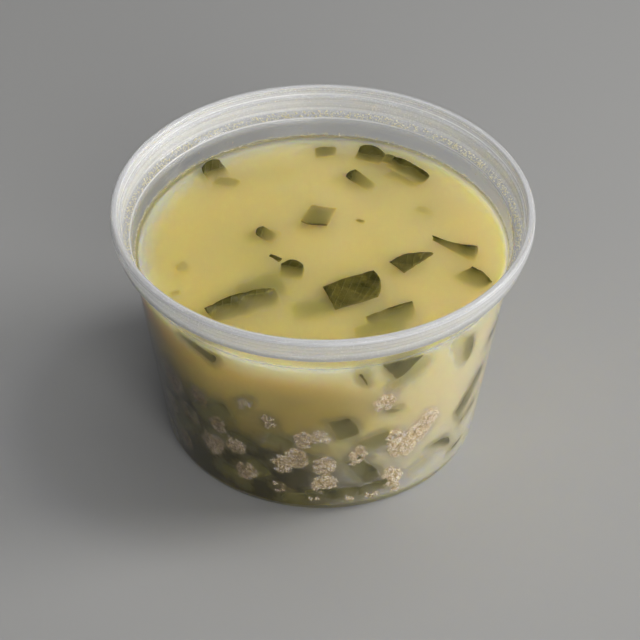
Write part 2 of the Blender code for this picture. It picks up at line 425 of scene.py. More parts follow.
def clearPlastic():
    mat, tree = newMaterial("clearPlastic")
    coords = coordinates(tree)
    place = coords["Object"]
    stretch = addNode(tree, "ShaderNodeMapping", {
        "Vector": coords["UV"], "Scale": (0.0, plastic["ringScale"], 1.0)})
    rings = noiseAt(stretch.outputs["Vector"], 1.0)
    relief = plus(rings, times(noiseAt(place, plastic["rippleScale"], 1.0), plastic["ripple"]))
    normal = bumpFrom(relief, plastic["relief"], plastic["reliefDepth"])
    specks = noiseAt(place, plastic["speckScale"])
    glass = principled(tree, {
        "Base Color": plastic["clear"], "Transmission Weight": 1.0, "IOR": 1.37, "Normal": normal,
        "Roughness": mapRange(specks, 0.35, 0.75, plastic["smoothest"], plastic["roughest"])})
    # milk-white plastic, whose colour also paints the highlight lines
    milky = principled(tree, {"Base Color": plastic["milky"], "Roughness": 0.3, "Normal": normal})
    return finished(mat, litThrough(blendShaders(milkAndHighlightShare(place, rings), glass, milky), plastic["shadow"]))


addPiece("clearTub", turnedMesh("clearTub", tubProfile(), True), clearPlastic(), ["tub"])
print("tub done")


# greens: outlines shared by the leaves in the surface and those at the wall

soup = {"level": 59.5, "rise": 0.6, "reach": 0.8, "intoWall": 0.15, "wetBand": 0.5}
leafSheet = {"thickness": 0.46, "cell": 0.42, "waveLength": 9.0, "waveSkew": 0.4, "crinkle": 0.10,
             "crinkleSize": 2.6, "ragged": 0.16, "raggedSize": 1.3, "broad": 0.35, "broadSize": 3.6,
             "edgeWidth": 0.35, "edgeShare": 0.05, "sunkCell": 0.55, "sunkRagged": 2.0, "uvScale": 0.1,
             "kept": 13}
haze = {"edge": 0.9, "softEdge": 0.1, "crispDepth": 0.3, "clearDepth": 0.5, "fadeDepth": 6.0}

# x, y, heading, length, width at each end, slants, point, bow, roll, pitch, proud, sag, wave
surfaceLeaves = {
    "leaf_centre": (7.1, -13.7, 27.5, 15.6, 10.2, 10.6, 1.3, 4, 1.6, 0.4, 1.5, -0.5, 0.1, 0, 0.14),
    "leaf_right": (24.6, -4, 21, 12.8, 5.6, 0.9, -2.1, 0.4, 0.3, 1.6, 4, 1.5, 0.1, 0, 0.14),
    "leaf_far_right": (36.9, 3.4, -20, 13.2, 1.6, 6.4, -0.6, -1.2, 0.4, -0.7, 32, 0, 0.3, 0.3, 0.3),
    "leaf_front_left": (-22.4, -23, 28, 21.5, 5.6, 7.6, -1.5, 1, 0.6, 1.5, 27, 2, 0.3, 0.4, 0.35),
    "leaf_front_right": (18.2, -26.3, 25.5, 14.2, 6, 7, 0.6, 1.4, 0.3, 0.2, 30, -4, -0.2, 0.3, 0.25),
    "leaf_small_mid": (-8.2, -8, -6, 6.2, 5, 5.2, 0.2, 0.2, 0.4, 1.4, 34, 0, 0.4, 0.2, 0.22),
    "leaf_shred": (-12.7, -4.3, -31, 3.6, 0.9, 1.5, 0, 0, 0.2, 0.1, 18, 3, 0.3, 0, 0.05),
    "leaf_small_left": (-17.6, 7.2, 66, 4.6, 5.4, 5.8, 0.3, 0.3, 0.2, 0.9, 24, 0, 0.3, 0.1, 0.2),
    "leaf_mid": (-2.4, 10.8, 166, 7.4, 9.4, 8.6, 0.6, 0.8, 0.9, 0.9, 6, 0, 0.2, 1.5, 0.22),
    "leaf_back_left": (-32.2, 36.5, 38, 6.2, 6.4, 6.8, 0.4, -0.6, 0.2, 0.9, 40, 0, 1.5, 0.3, 0.25),
    "leaf_back_mid": (7.9, 34.1, 54, 4.9, 9.4, 8.6, -0.4, 0.6, 0.3, 0.6, 19, 0, 0.4, 0.2, 0.28),
    "leaf_back_right": (14.2, 44.6, -22, 7.6, 4.2, 4.6, 0.3, 0.3, 0.3, 1.3, 30, 0, 0.9, 0.2, 0.26),
    "leaf_back_tail": (25.5, 37.6, -40, 13.4, 4.2, 4.8, 0.2, 0.8, 0.5, 0.8, 31, 1.5, 0.4, 0.3, 0.3),
}


def leafPoint(leaf, along, across):
    x, y, heading, length, widthA, widthB, slantA, slantB, point, bow, roll, pitch, proud, sag, wave = leaf
    start = -slantA * (1 - across)
    end = length - slantB * (1 - across) + point * 4 * across * (1 - across)
    width = widthA + (widthB - widthA) * along
    px = start + (end - start) * along - length / 2
    py = -(1 - across) * width + bow * 4 * along * (1 - along) * across
    skewed = (px + leafSheet["waveSkew"] * py) / leafSheet["waveLength"]
    ripple = wave * math.sin(2 * math.pi * skewed + heading)
    return Vector((px, py, ripple - sag * 4 * across * (1 - across)))


def clearness(spot, edgeGap):
    # 1 at the surface or the wall, falling to 0 inside the cloudy broth, and sooner towards a leaf's edge
    under = max(0.0, min(soup["level"] - spot.z, behindWall(spot)))
    soft = haze["softEdge"]
    edge = min(1.0, (edgeGap + soft) / (soft + haze["edge"] * max(0.0, under - haze["crispDepth"])))
    return edge * edge * (3 - 2 * edge) * math.exp(-max(0.0, under - haze["clearDepth"]) / haze["fadeDepth"])


# how much of a leaf shows through the broth over it, at its lower edge, in its middle and at its upper edge
shownShares = {
    "leafRight": (0.9, 0.76, 0.68), "leafMid": (0.35, 0.85, 0.5), "leafBackLeft": (0.2, 0.55, 1.0),
    "leafBackMid": (0.45, 0.9, 1.0), "leafBackRight": (0.45, 0.74, 0.88), "leafBackTail": (0.3, 0.75, 1.0),
    "leafFrontLeft": (0.4, 0.8, 1.0), "leafFrontRight": (0.5, 0.8, 1.0), "leafSmallLeft": (0.4, 0.8, 1.0),
}


def leafMesh(name, leaf, place, cell=leafSheet["cell"], ragged=1.0):
    # two faces a sheet's thickness apart, thinning to a rounded edge; place carries a point to the tub
    length, width = leaf[3], max(leaf[4], leaf[5])
    columns, rows = max(4, round(length / cell)), max(4, round(width / cell))
    seed = Vector(leaf[:3])
    low, middle, high = shownShares.get(name, (1.0, 1.0, 1.0))
    verts, faces, uvs, clear = [], [], [], []
    for side in (1, -1):
        for j in range(rows + 1):
            for i in range(columns + 1):
                along, across = i / columns, j / rows
                p = leafPoint(leaf, along, across)
                rim = min(min(along, 1 - along) * length, min(across, 1 - across) * width)
                body = math.sqrt(min(1.0, rim / leafSheet["edgeWidth"] + leafSheet["edgeShare"]))
                fine = noise.noise_vector((p + seed) / leafSheet["raggedSize"]) * leafSheet["ragged"]
                broad = noise.noise_vector((p - seed) / leafSheet["broadSize"]) * leafSheet["broad"]
                away = fine * ragged + broad * (ragged - 1.0)
                p += Vector((away.x, away.y, 0))
                crinkle = noise.noise((p + seed) / leafSheet["crinkleSize"]) * leafSheet["crinkle"]
                p.z += crinkle + side * body * leafSheet["thickness"] / 2
                verts.append(place(p))
                film = low + (middle - low) * min(1.0, 2 * across)
                film += (high - middle) * max(0.0, 2 * across - 1)
                clear.append(clearness(verts[-1] / mm, rim) * film)
                uvs.append((along * length * leafSheet["uvScale"], across * leaf[4] * leafSheet["uvScale"]))
    layer = (rows + 1) * (columns + 1)
    for side in (0, 1):
        for j in range(rows):
            for i in range(columns):
                a = side * layer + j * (columns + 1) + i
                quad = (a, a + 1, a + columns + 2, a + columns + 1)
                faces.append(quad if side == 0 else quad[::-1])
    edge = list(range(columns)) + [columns + j * (columns + 1) for j in range(rows)]
    edge += [rows * (columns + 1) + i for i in range(columns, 0, -1)]
    edge += [j * (columns + 1) for j in range(rows, 0, -1)]
    faces += [(a, a + layer, b + layer, b) for a, b in zip(edge, edge[1:] + edge[:1])]
    return meshOf(name, verts, faces, [x for face in faces for i in face for x in uvs[i]], clearness=clear)


def unrolled(points):
    # arc length and height of each point
    return np.array([(math.atan2(p[0], -p[1]) * math.hypot(p[0], p[1]), p[2]) for p in points])


def joinedLeaves(name, leavesWithPlaces, depths=None):
    # one piece of many leaves; depths keeps each leaf's arc length, height and depth behind the wall
    verts, faces, uvs, clear = [], [], [], []
    for leaf, place in leavesWithPlaces:
        part = leafMesh(name, leaf, place, leafSheet["sunkCell"], leafSheet["sunkRagged"])
        clear += [item.value for item in part.attributes["clearness"].data]
        if depths is not None:
            places = [v.co / mm for v in list(part.vertices)[::leafSheet["kept"]]]
            depths.append(np.column_stack([unrolled(places), [behindWall(p) for p in places]]))
        faces += [[i + len(verts) for i in f.vertices] for f in part.polygons]
        verts += [v.co.copy() for v in part.vertices]
        uvs += [x for loop in part.uv_layers[0].data for x in loop.uv]
        bpy.data.meshes.remove(part)
    return meshOf(name, verts, faces, uvs, clearness=clear)


def onSurface(leaf):
    turn = Euler((math.radians(leaf[10]), math.radians(leaf[11]), math.radians(leaf[2]))).to_matrix()
    spot = Vector((leaf[0], leaf[1], soup["level"] + leaf[12]))
    return lambda p: (spot + turn @ p) * mm


# the deep gold, the dark orange-brown and the darkest settled colours are painted shade on the left and low
# down, the settled ones partly also greens and meat lying low; the whiter, pale settled and grey-green
# colours are painted light on the right
brothShades = {"pale": (0.95, 0.66, 0.19), "deep": (0.68, 0.49, 0.145), "shadedGolden": (0.97, 0.67, 0.05),
               "middle": (0.95, 0.72, 0.20), "litWhitish": (0.95, 0.80, 0.46), "edge": (0.88, 0.79, 0.50),
               "film": (0.86, 0.81, 0.60), "amber": (0.42, 0.27, 0.03), "mist": (0.14, 0.118, 0.028),
               "litGreyGreen": (0.80, 0.73, 0.54), "shadedSettledDark": (0.010, 0.008, 0.002),
               "settledMid": (0.042, 0.033, 0.009), "litSettledPale": (0.18, 0.135, 0.05)}
# patches in the plane of width and height: middle, half axes and strength; the two darker patches on the left
# are painted shade, the pale one on the right is painted light
shadePatches = {"amber": (-7.0, 41.0, 26.0, 14.0, 0.85), "shadedSettledDark": (-19.0, 23.0, 17.0, 16.0, 0.97),
                "litSettledPale": (9.0, 21.5, 10.0, 8.0, 0.75)}
# where the colours change, from one size to another, and how far: edge by radius, side and settled right by
# width, level by height, settling by height that leans with the width; side and settled right paint shade on
# the left and light on the right
shadeFades = {"edge": (45.0, 50.0, 0.9), "side": (-36.0, 40.0), "level": (57.5, 51.5, 0.85),
              "settledRight": (-4.0, 22.0, 0.88)}
settling = {"from": 38.0, "to": 18.0, "lean": 0.34}


def withPatch(colour, parts, name):
    x, z, wide, tall, strength = shadePatches[name]
    sideways = combine("DIVIDE", minus(sideOf(parts), x * mm), wide * mm)
    upwards = combine("DIVIDE", minus(parts["Z"], z * mm), tall * mm)
    apart = plus(times(sideways, sideways), times(upwards, upwards))
    return mixColours(mapRange(apart, 0.0, 1.0, strength, 0.0), colour, brothShades[name])


def faded(value, name, colour, other):
    # a colour that turns to another over a range of sizes
    low, high, strength = shadeFades[name]
    return mixColours(mapSize(value, low, high, 0.0, strength), colour, other)


def shadeRamp(factor, *stops):
    return ramp(factor, [(place, brothShades[name]) for place, name in stops])


def driftAt(place):
    # slow drifts in the broth
    return noiseAt(place, 32.0, distortion=0.4)


def brothShadeGroup():
    # colour of the broth at a place: slow drifts above, settled and patchy below, higher on the left; painted
    # shade darkens the left and the low parts, and painted light whitens the right
    tree, given = newGroup("brothShade", "ShaderNodeTree", {
        "Place": "Vector", "Settled From": "Float", "Settled To": "Float"},
        {"Colour": "Color", "Mist": "Color"})
    place = given["Place"]
    parts = axes(place)
    side = sideOf(parts)
    upper = shadeRamp(driftAt(place), (0.38, "pale"), (0.66, "deep"))
    upper = faded(radiusOf(parts), "edge", upper, brothShades["edge"])
    # deep gold on the left as painted shade and whiter on the right as painted light, but for the level top
    paintedSideLight = shadeRamp(mapSize(side, *shadeFades["side"]), (0.0, "shadedGolden"), (0.5, "middle"), (1.0, "litWhitish"))
    upper = faded(parts["Z"], "level", upper, paintedSideLight)
    # a darker patch on the left, painted shade
    upper = withPatch(upper, parts, "amber")
    # below, settled greens and meat, with painted shade in a dark patch on the left and painted light in a
    # pale patch and grey-green on the right
    lower = shadeRamp(noiseAt(place, 95.0),
                      (0.42, "shadedSettledDark"), (0.57, "settledMid"), (0.76, "litSettledPale"))
    for name in ("shadedSettledDark", "litSettledPale"):
        lower = withPatch(lower, parts, name)
    lower = faded(side, "settledRight", lower, brothShades["litGreyGreen"])
    # the settled part reaches higher on the left: settled matter and painted shade both
    leaning = plus(parts["Z"], times(side, settling["lean"]))
    settled = mapRange(leaning, given["Settled From"], given["Settled To"])
    addNode(tree, "NodeGroupOutput", {
        "Colour": mixColours(settled, upper, lower), "Mist": mixColours(settled, brothShades["mist"], lower)})
    return tree


brothShade = brothShadeGroup()


def brothShadeAt(place):
    return addNode(place.id_data, "ShaderNodeGroup", {
        "Place": place, "Settled From": settling["from"] * mm, "Settled To": settling["to"] * mm},
        node_tree=brothShade).outputs


leafLook = {"blotchScale": 190.0, "veinScale": 1.6, "veinTurn": 0.7, "veinShare": 0.1, "veinRelief": 1.2,
            "cellScale": 1300.0, "relief": 0.6, "reliefDepth": 0.15, "smoothest": 0.22, "roughest": 0.42}


def greenLeaf(name, shades):
    mat, tree = newMaterial(name)
    coords = coordinates(tree)
    place = coords["Object"]
    blotch = noiseAt(place, leafLook["blotchScale"], 4.0, 0.6)
    colour = ramp(blotch, list(zip((0.30, 0.50, 0.72), shades)))
    # side veins run askew from one long edge
    skew = addNode(tree, "ShaderNodeMapping", {
        "Vector": coords["UV"], "Rotation": (0.0, 0.0, leafLook["veinTurn"])})
    veins = addNode(tree, "ShaderNodeTexWave", {
        "Vector": skew.outputs["Vector"], "Scale": leafLook["veinScale"], "Distortion": 1.4, "Detail": 2.0,
        "Detail Scale": 1.2}, wave_type="BANDS", bands_direction="X")
    veinLine = mapRange(veins.outputs["Fac"], 0.86, 1.0)
    veinColour = tuple(min(1.0, c * 1.5 + 0.03) for c in shades[2])
    veined = mixColours(times(veinLine, leafLook["veinShare"]), colour, veinColour)
    # under the haze a leaf turns from its own colour to mist, and at its edges to the broth's colour
    clear, shade = attribute(tree, "clearness"), brothShadeAt(place)
    shown = mixColours(mapRange(clear, 0.0, 0.5), shade["Colour"], shade["Mist"])
    shown = mixColours(mapRange(clear, 0.5, 1.0), shown, veined)
    relief = plus(times(veinLine, leafLook["veinRelief"]), edgeCells(place, leafLook["cellScale"]))
    return finished(mat, principled(tree, {
        "Base Color": shown, "IOR": 1.4, "Specular IOR Level": 0.3,
        "Roughness": mapRange(blotch, 0.3, 0.7, leafLook["smoothest"], leafLook["roughest"]),
        "Normal": bumpFrom(relief, leafLook["relief"], leafLook["reliefDepth"])}))


leafMaterial = greenLeaf("greenLeaf", [(0.042, 0.039, 0.005), (0.086, 0.076, 0.0095), (0.165, 0.138, 0.020)])
paleMaterial = greenLeaf("paleLeaf", [(0.20, 0.17, 0.03), (0.30, 0.26, 0.05), (0.42, 0.36, 0.09)])
wetPoints = []
for nodeName, leaf in surfaceLeaves.items():
    first, *others = nodeName.split("_")
    pieceName = first + "".join(word.capitalize() for word in others)
    mesh = leafMesh(pieceName, leaf, onSurface(leaf))
    addPiece(pieceName, mesh, leafMaterial, [nodeName])
    wetPoints += [v.co.copy() for v in mesh.vertices if abs(v.co.z / mm - soup["level"]) < soup["wetBand"]]
print("surface leaves done")

# leaves wholly under the surface, read as soft dark patches; same values, with the depth as a fall
sunkLeaves = [
    (0.6, 47.3, 8, 6.2, 4.2, 3.6, 0.4, 0.4, 0.4, 0.5, 10, 2, -1.0, 0.2, 0.2),
    (-26.6, 32.6, -15, 6.4, 3.2, 3.6, 0.5, 0.4, 0.4, 0.5, 14, 3, -1.5, 0.2, 0.2),
    (24.4, 35.2, -38, 10.5, 4.6, 4.0, 0.6, 0.8, 0.5, 0.8, 5, 2, -2.2, 0.2, 0.2),
    (19.6, 43.0, -30, 6.4, 3.4, 3.0, 0.4, 0.4, 0.4, 0.6, 6, 4, -0.6, 0.2, 0.2),
    (-13.6, 8.6, -20, 4.6, 3.4, 3.8, 0.5, 0.5, 0.4, 0.5, 9, 3, -1.6, 0.3, 0.2),
    (-18.2, -13.0, 30, 14.0, 10.6, 9.4, 1.2, 0.9, 0.7, 1.0, 3, 1, -2.4, 0.2, 0.2),
    (-3.0, -21.5, 10, 13.0, 8.6, 8.0, 1.0, 1.1, 0.7, 1.0, 3, -1, -2.7, 0.2, 0.2),
    (15.5, -30.5, 20, 15.0, 6.0, 6.4, 0.7, 0.8, 0.4, 0.9, 5, 1, -2.2, 0.2, 0.25),
    (44.1, -11.0, -52, 8.4, 6.6, 5.4, 1.6, 0.6, 0.6, 0.9, 24, 3, -0.3, 0.6, 0.3),
    (11.1, 13.6, -30, 2.4, 1.2, 1.4, 0.1, 0.1, 0.1, 0.1, 10, 2, -1.1, 0.0, 0.05),
    (-40.3, -18.6, 20, 2.8, 2.0, 1.8, 0.1, 0.1, 0.1, 0.1, 14, 2, -1.5, 0.0, 0.05),
]
paleScraps = [
    (-39.6, -6.6, 60, 4.0, 4.2, 3.4, 0.5, 0.3, 0.3, 0.4, 20, 3, -1.7, 0.2, 0.15),
    (29.5, 19.6, -35, 5.4, 2.6, 2.0, 0.4, 0.4, 0.3, 0.4, 8, 2, -2.2, 0.2, 0.15),
]
for pieceName, leaves, mat in (("sunkGreens", sunkLeaves, leafMaterial),
                               ("paleScraps", paleScraps, paleMaterial)):
    mesh = joinedLeaves(pieceName, [(leaf, onSurface(leaf)) for leaf in leaves])
    addPiece(pieceName, mesh, mat)
print("sunk leaves done")


# greens and meat seen through the wall; azimuth is 0 at the near side and grows to the right

def wallPoint(azimuth, height, inset):
    a = math.radians(azimuth)
    radius = wallRadius(height, tub["wall"] + inset)
    return Vector((radius * math.sin(a), -radius * math.cos(a), height))


# azimuth and height of the upper edge's middle, turn, length, width at each end, slants, point, bow,
# depth behind the wall, how much deeper the far end and the lower edge lie, wave
wallLeaves = [
    (-41.5, 57.3, -5, 14.6, 1.2, 3.8, -0.4, 0.6, 0.8, 0.5, 1.6, -1.55, 0.4, 0.1),
    (24.9, 59.0, -3, 12.0, 7.0, 6.6, -5.0, 5.6, 0.3, 0.2, 0.1, -0.05, 0.5, 0.1),
    (17.5, 57.0, -8, 6.5, 2.6, 3.4, 0.2, 0.2, 0.3, 0.3, 2.6, -0.6, 0.6, 0.2),
    (28.2, 52.6, 31, 12.6, 2.8, 3.6, 0.3, 0.3, 0.4, 0.4, 1.9, 0.5, 0.8, 0.2),
    (12.9, 54.6, -64, 5.2, 0.5, 0.4, 0.0, 0.0, 0.0, 0.3, 0.12, 0.1, 0.2, 0.0),
    (53.6, 49.9, -86, 10.4, 4.6, 3.4, 1.0, 1.6, 0.3, 0.4, 0.25, 0.2, 2.4, 0.2),
    (59.0, 29.5, 42, 15.5, 5.2, 6.2, 0.5, 0.5, 0.6, 0.5, 0.2, 0.2, 0.9, 0.2),
    (63.0, 19.5, 12, 9.5, 2.4, 2.8, 0.4, 0.2, 0.3, 0.4, 0.3, 0.2, 0.8, 0.2),
    (48.0, 14.4, -32, 10.8, 1.6, 1.8, 0.0, 0.0, 0.2, 2.0, 0.5, 0.1, 1.2, 0.2),
    (59.0, 8.6, 14, 6.6, 1.7, 2.0, 0.2, 0.2, 0.2, 0.4, 0.2, 0.0, 0.8, 0.2),
    (-46.5, 31.5, 44, 14.0, 7.2, 6.0, 0.8, 0.6, 0.5, 0.6, 0.2, 0.3, 0.6, 0.2),
    (-36.8, 35.6, 30, 7.6, 4.8, 4.2, 0.4, 0.4, 0.4, 0.5, 0.25, 0.2, 0.6, 0.2),
    (-27.5, 26.0, -8, 7.4, 2.8, 2.4, 0.2, 0.2, 0.3, 0.4, 0.15, 0.0, 0.6, 0.1),
    (10.6, 36.0, -64, 8.0, 5.4, 6.6, 0.9, 0.6, 0.6, 0.8, 0.35, 0.3, 0.6, 0.2),
    (-20.0, 16.5, -50, 7.6, 4.2, 4.6, 0.3, 0.3, 0.3, 0.4, 0.2, 0.2, 0.3, 0.2),
    (17.6, 17.6, -56, 12.6, 4.4, 5.4, 0.5, 0.6, 0.4, 0.5, 0.2, 0.1, 0.9, 0.3),
    (19.0, 10.2, 6, 9.2, 4.2, 4.6, 0.4, 0.4, 0.4, 0.4, 0.15, 0.1, 0.8, 0.3),
    (4.0, 9.6, 2, 15.0, 4.4, 4.8, 0.6, 0.6, 0.5, 0.6, 0.15, 0.1, 0.6, 0.3),
    (-8.0, 7.2, 6, 10.5, 3.6, 3.2, 0.5, 0.5, 0.4, 0.5, 0.25, 0.1, 0.6, 0.3),
    (24.0, 39.6, -20, 4.0, 2.2, 2.0, 0.2, 0.2, 0.2, 0.3, 0.8, 0.2, 0.6, 0.1),
    (-23.6, 43.4, -10, 3.0, 2.2, 2.0, 0.2, 0.2, 0.2, 0.2, 1.0, 0.3, 0.4, 0.1),
    (-32.0, 11.0, -16, 9.0, 3.8, 4.2, 0.4, 0.4, 0.3, 0.4, 0.4, 0.3, 0.5, 0.2),
    (17.6, 29.5, 12, 9.4, 7.0, 5.8, 0.6, 0.6, 0.5, 0.5, 1.0, 0.3, 0.9, 0.3),
    (-12.3, 30.0, -25, 7.2, 4.6, 3.8, 0.4, 0.4, 0.4, 0.4, 0.5, 0.3, 0.7, 0.2),
    (-63.5, 19.0, 62, 11.0, 5.0, 4.4, 0.4, 0.4, 0.4, 0.4, 0.2, 0.2, 0.6, 0.2),
    (-38.5, 24.5, 12, 8.6, 4.8, 4.2, 0.4, 0.4, 0.4, 0.4, 0.35, 0.2, 0.6, 0.2),
    (-4.0, 23.5, -12, 8.4, 4.4, 4.0, 0.4, 0.4, 0.4, 0.4, 0.9, 0.2, 0.6, 0.2),
    (38.0, 11.0, 18, 8.0, 3.0, 3.4, 0.4, 0.3, 0.3, 0.4, 1.4, 0.2, 0.6, 0.2),
    (-56.0, 20.5, 30, 11.0, 4.4, 4.0, 0.4, 0.4, 0.4, 0.4, 0.2, 0.2, 0.6, 0.2),
]

# azimuth, height, width, tallness, turn and depth behind the wall
wallCrumbles = [
    (20.6, 43.0, 6.4, 6.0, 20, 0.0), (26.3, 24.6, 5.4, 12.6, 8, 0.0), (31.6, 22.6, 6.4, 10.0, -20, 0.0),
    (34.6, 26.2, 8.2, 9.6, -34, 0.0), (38.0, 29.2, 6.8, 8.2, -30, 0.0), (26.5, 10.9, 6.0, 8.6, 10, 0.0),
    (12.4, 23.2, 5.0, 7.4, -20, 0.0), (-5.9, 30.4, 4.8, 6.6, 10, 0.1), (-0.2, 31.4, 5.2, 5.4, 0, 0.35),
    (-13.6, 19.4, 6.2, 8.2, 12, 0.0), (-8.4, 22.2, 6.6, 8.4, -16, 0.0), (1.2, 19.4, 6.8, 7.0, 15, 0.05),
    (1.2, 12.0, 7.2, 8.4, -20, 0.0), (-40.6, 17.4, 8.2, 9.4, 0, 0.0), (-30.4, 21.6, 6.8, 7.2, 25, 0.0),
    (-36.8, 27.5, 6.0, 6.4, 10, 0.05), (-27.3, 12.4, 6.8, 7.6, -30, 0.05), (-16.6, 36.1, 4.0, 6.8, 5, 0.1),
    (-57.6, 33.0, 11.0, 12.0, 30, 0.0), (-43.6, 34.9, 6.2, 7.4, 20, 0.1), (-56.6, 10.0, 7.4, 7.6, 0, 0.1),
    (-14.9, 9.2, 3.6, 5.4, 10, 0.1), (19.2, 5.4, 4.4, 3.4, 10, 0.0), (-25.5, 40.1, 4.4, 5.6, 0, 0.8),
    (11.0, 5.0, 3.4, 2.8, 0, 0.1), (29.0, 5.2, 3.8, 2.8, 0, 0.1), (-20.0, 28.0, 3.8, 4.4, 20, 1.2),
    (-48.0, 24.5, 4.4, 6.6, 0, 0.3), (44.5, 20.5, 3.0, 4.0, 30, 1.6), (-52.0, 25.0, 4.4, 7.0, 20, 0.2),
    (-2.5, 5.6, 3.8, 2.8, 0, 0.2), (-62.0, 22.0, 5.0, 7.0, 10, 0.2),
]
unseenSide = {
    "seed": 7, "from": 70.0, "to": 288.0, "leaves": 26, "crumbles": 34,
    # every sixth leaf lies high; a height is the lowest, the span and the power that favours the lowest
    "leafHeight": (6.0, 30.0, 1.3), "highLeaf": (44.0, 12.0), "highEach": 6, "leafLength": (5.0, 14.0),
    "leafWidth": (0.35, 0.6), "otherWidth": (0.7, 1.1), "leafTurn": (-60, 60), "leafDepth": (0.1, 1.8),
    "farSink": (-0.2, 0.6), "lowSink": (0.3, 1.4), "leafShape": (0.5, 0.4, 0.4, 0.5), "leafWave": 0.25,
    "crumbleHeight": (5.0, 30.0, 1.2), "crumbleSize": (3.0, 6.8), "crumbleTall": (0.9, 1.6),
    "crumbleTurn": (-40, 40), "crumbleDepth": (0.0, 0.5),
}
crumbleForm = {
    "areaPerLump": 4.6, "fewest": 3, "smallestLump": 0.38, "largestLump": 0.56, "squash": 0.55,
    "behind": 0.12, "rounding": 0.05, "lumpy": 0.16, "lumpySize": 0.9, "tries": 8, "firstSeed": 100,
    "farFirst": 50, "intoWall": 0.05, "overFloor": 0.3,
}
grains = {"Spacing": 0.6, "Grain Size": 0.36, "Seed": 5}
grainForm = {"densest": 0.5, "smallest": 0.6, "largest": 1.4}


def atWall(leaf):
    azimuth, height, turn = leaf[0], leaf[1], math.radians(leaf[2])
    length, width = leaf[3], max(leaf[4], leaf[5])
    near, farSink, lowSink = leaf[10], leaf[11], leaf[12]

    def place(p):
        u = p.x * math.cos(turn) - p.y * math.sin(turn)
        w = p.x * math.sin(turn) + p.y * math.cos(turn)
        along, below = p.x / length + 0.5, -p.y / width
        depth = near + farSink * along + lowSink * below + leafSheet["thickness"] / 2
        sideways = azimuth + math.degrees(u / wallRadius(height))
        return wallPoint(sideways, height + w, max(depth - p.z, 0.02)) * mm
    return place


def forSheet(leaf):
    # the shared outline function wants its values in the order of a surface leaf
    return (*leaf[:10], 0, 0, 0, 0, leaf[13])


def randomSide():
    # the side away from the photo is filled by the same kinds of pieces, seeded
    side, draw = unseenSide, random.Random(unseenSide["seed"])
    leaves, crumbles = [], []

    def turnTo(k, count):
        return side["from"] + (side["to"] - side["from"]) * ((k + draw.random()) / side[count])

    def lowHeight(lowest, span, power):
        return lowest + span * draw.random() ** power

    for k in range(side["leaves"]):
        azimuth = turnTo(k, "leaves")
        low = k % side["highEach"]
        height = lowHeight(*side["leafHeight"]) if low else lowHeight(*side["highLeaf"], 1.0)
        length = draw.uniform(*side["leafLength"])
        width = length * draw.uniform(*side["leafWidth"])
        turn, otherWidth = draw.uniform(*side["leafTurn"]), width * draw.uniform(*side["otherWidth"])
        deep, far, lower = [draw.uniform(*side[span]) for span in ("leafDepth", "farSink", "lowSink")]
        leaves.append((azimuth, height, turn, length, width, otherWidth, *side["leafShape"], deep, far, lower,
                       side["leafWave"]))
    for k in range(side["crumbles"]):
        azimuth = turnTo(k, "crumbles")
        size = draw.uniform(*side["crumbleSize"])
        height, tall = lowHeight(*side["crumbleHeight"]), size * draw.uniform(*side["crumbleTall"])
        turn, deep = draw.uniform(*side["crumbleTurn"]), draw.uniform(*side["crumbleDepth"])
        crumbles.append((azimuth, height, size, tall, turn, deep))
    return leaves, crumbles


def crumbleLumps(crumble, index):
    # a crumble is a heap of lumps; each is sideways, upwards, depth of its middle and radius
    wide, tall, near, form = crumble[2], crumble[3], crumble[5], crumbleForm
    draw = random.Random(form["firstSeed"] + index)
    spots, lumps = [], []
    for k in range(max(form["fewest"], round(wide * tall / form["areaPerLump"]))):
        tries = []
        for trial in range(form["tries"]):
            reach, angle = math.sqrt(draw.random()), draw.uniform(0, 2 * math.pi)
            spot = (reach * math.cos(angle), reach * math.sin(angle))
            tries.append((min([math.dist(spot, other) for other in spots], default=1.0), spot))
        x, y = max(tries)[1]
        spots.append((x, y))
        radius = min(wide, tall) / 2 * draw.uniform(form["smallestLump"], form["largestLump"])
        deep = near + form["rounding"] * (x * x + y * y) * min(wide, tall)
        deep += radius * form["squash"] + draw.uniform(0, form["behind"])
        lumps.append((x * (wide - radius) / 2, y * (tall - radius) / 2, deep, radius))
    return lumps


def alongWall(azimuth, height, turn, x, y, depth):
    # many points at once, from sideways, upwards and depth behind the wall
    t = math.radians(turn)
    sideways, upward = x * math.cos(t) - y * math.sin(t), x * math.sin(t) + y * math.cos(t)
    angle = math.radians(azimuth) + sideways / wallRadius(height)
    z = height + upward
    radius = wallRadius(z, tub["wall"] + depth)
    return np.stack([radius * np.sin(angle), -radius * np.cos(angle), z], axis=1)


def keptInside(points):
    # nothing reaches farther than just into the wall, the rounded corner or the floor
    limit = wallRadius(points[:, 2], tub["wall"] - crumbleForm["intoWall"])
    limit -= np.maximum(0.0, tub["cornerRadius"] - points[:, 2]) ** 2 / (2 * tub["cornerRadius"])
    flat = np.hypot(points[:, 0], points[:, 1])
    points[:, :2] *= np.minimum(1.0, limit / flat)[:, None]
    points[:, 2] = np.maximum(points[:, 2], tub["wall"] + tub["recess"] + crumbleForm["overFloor"])
    return points


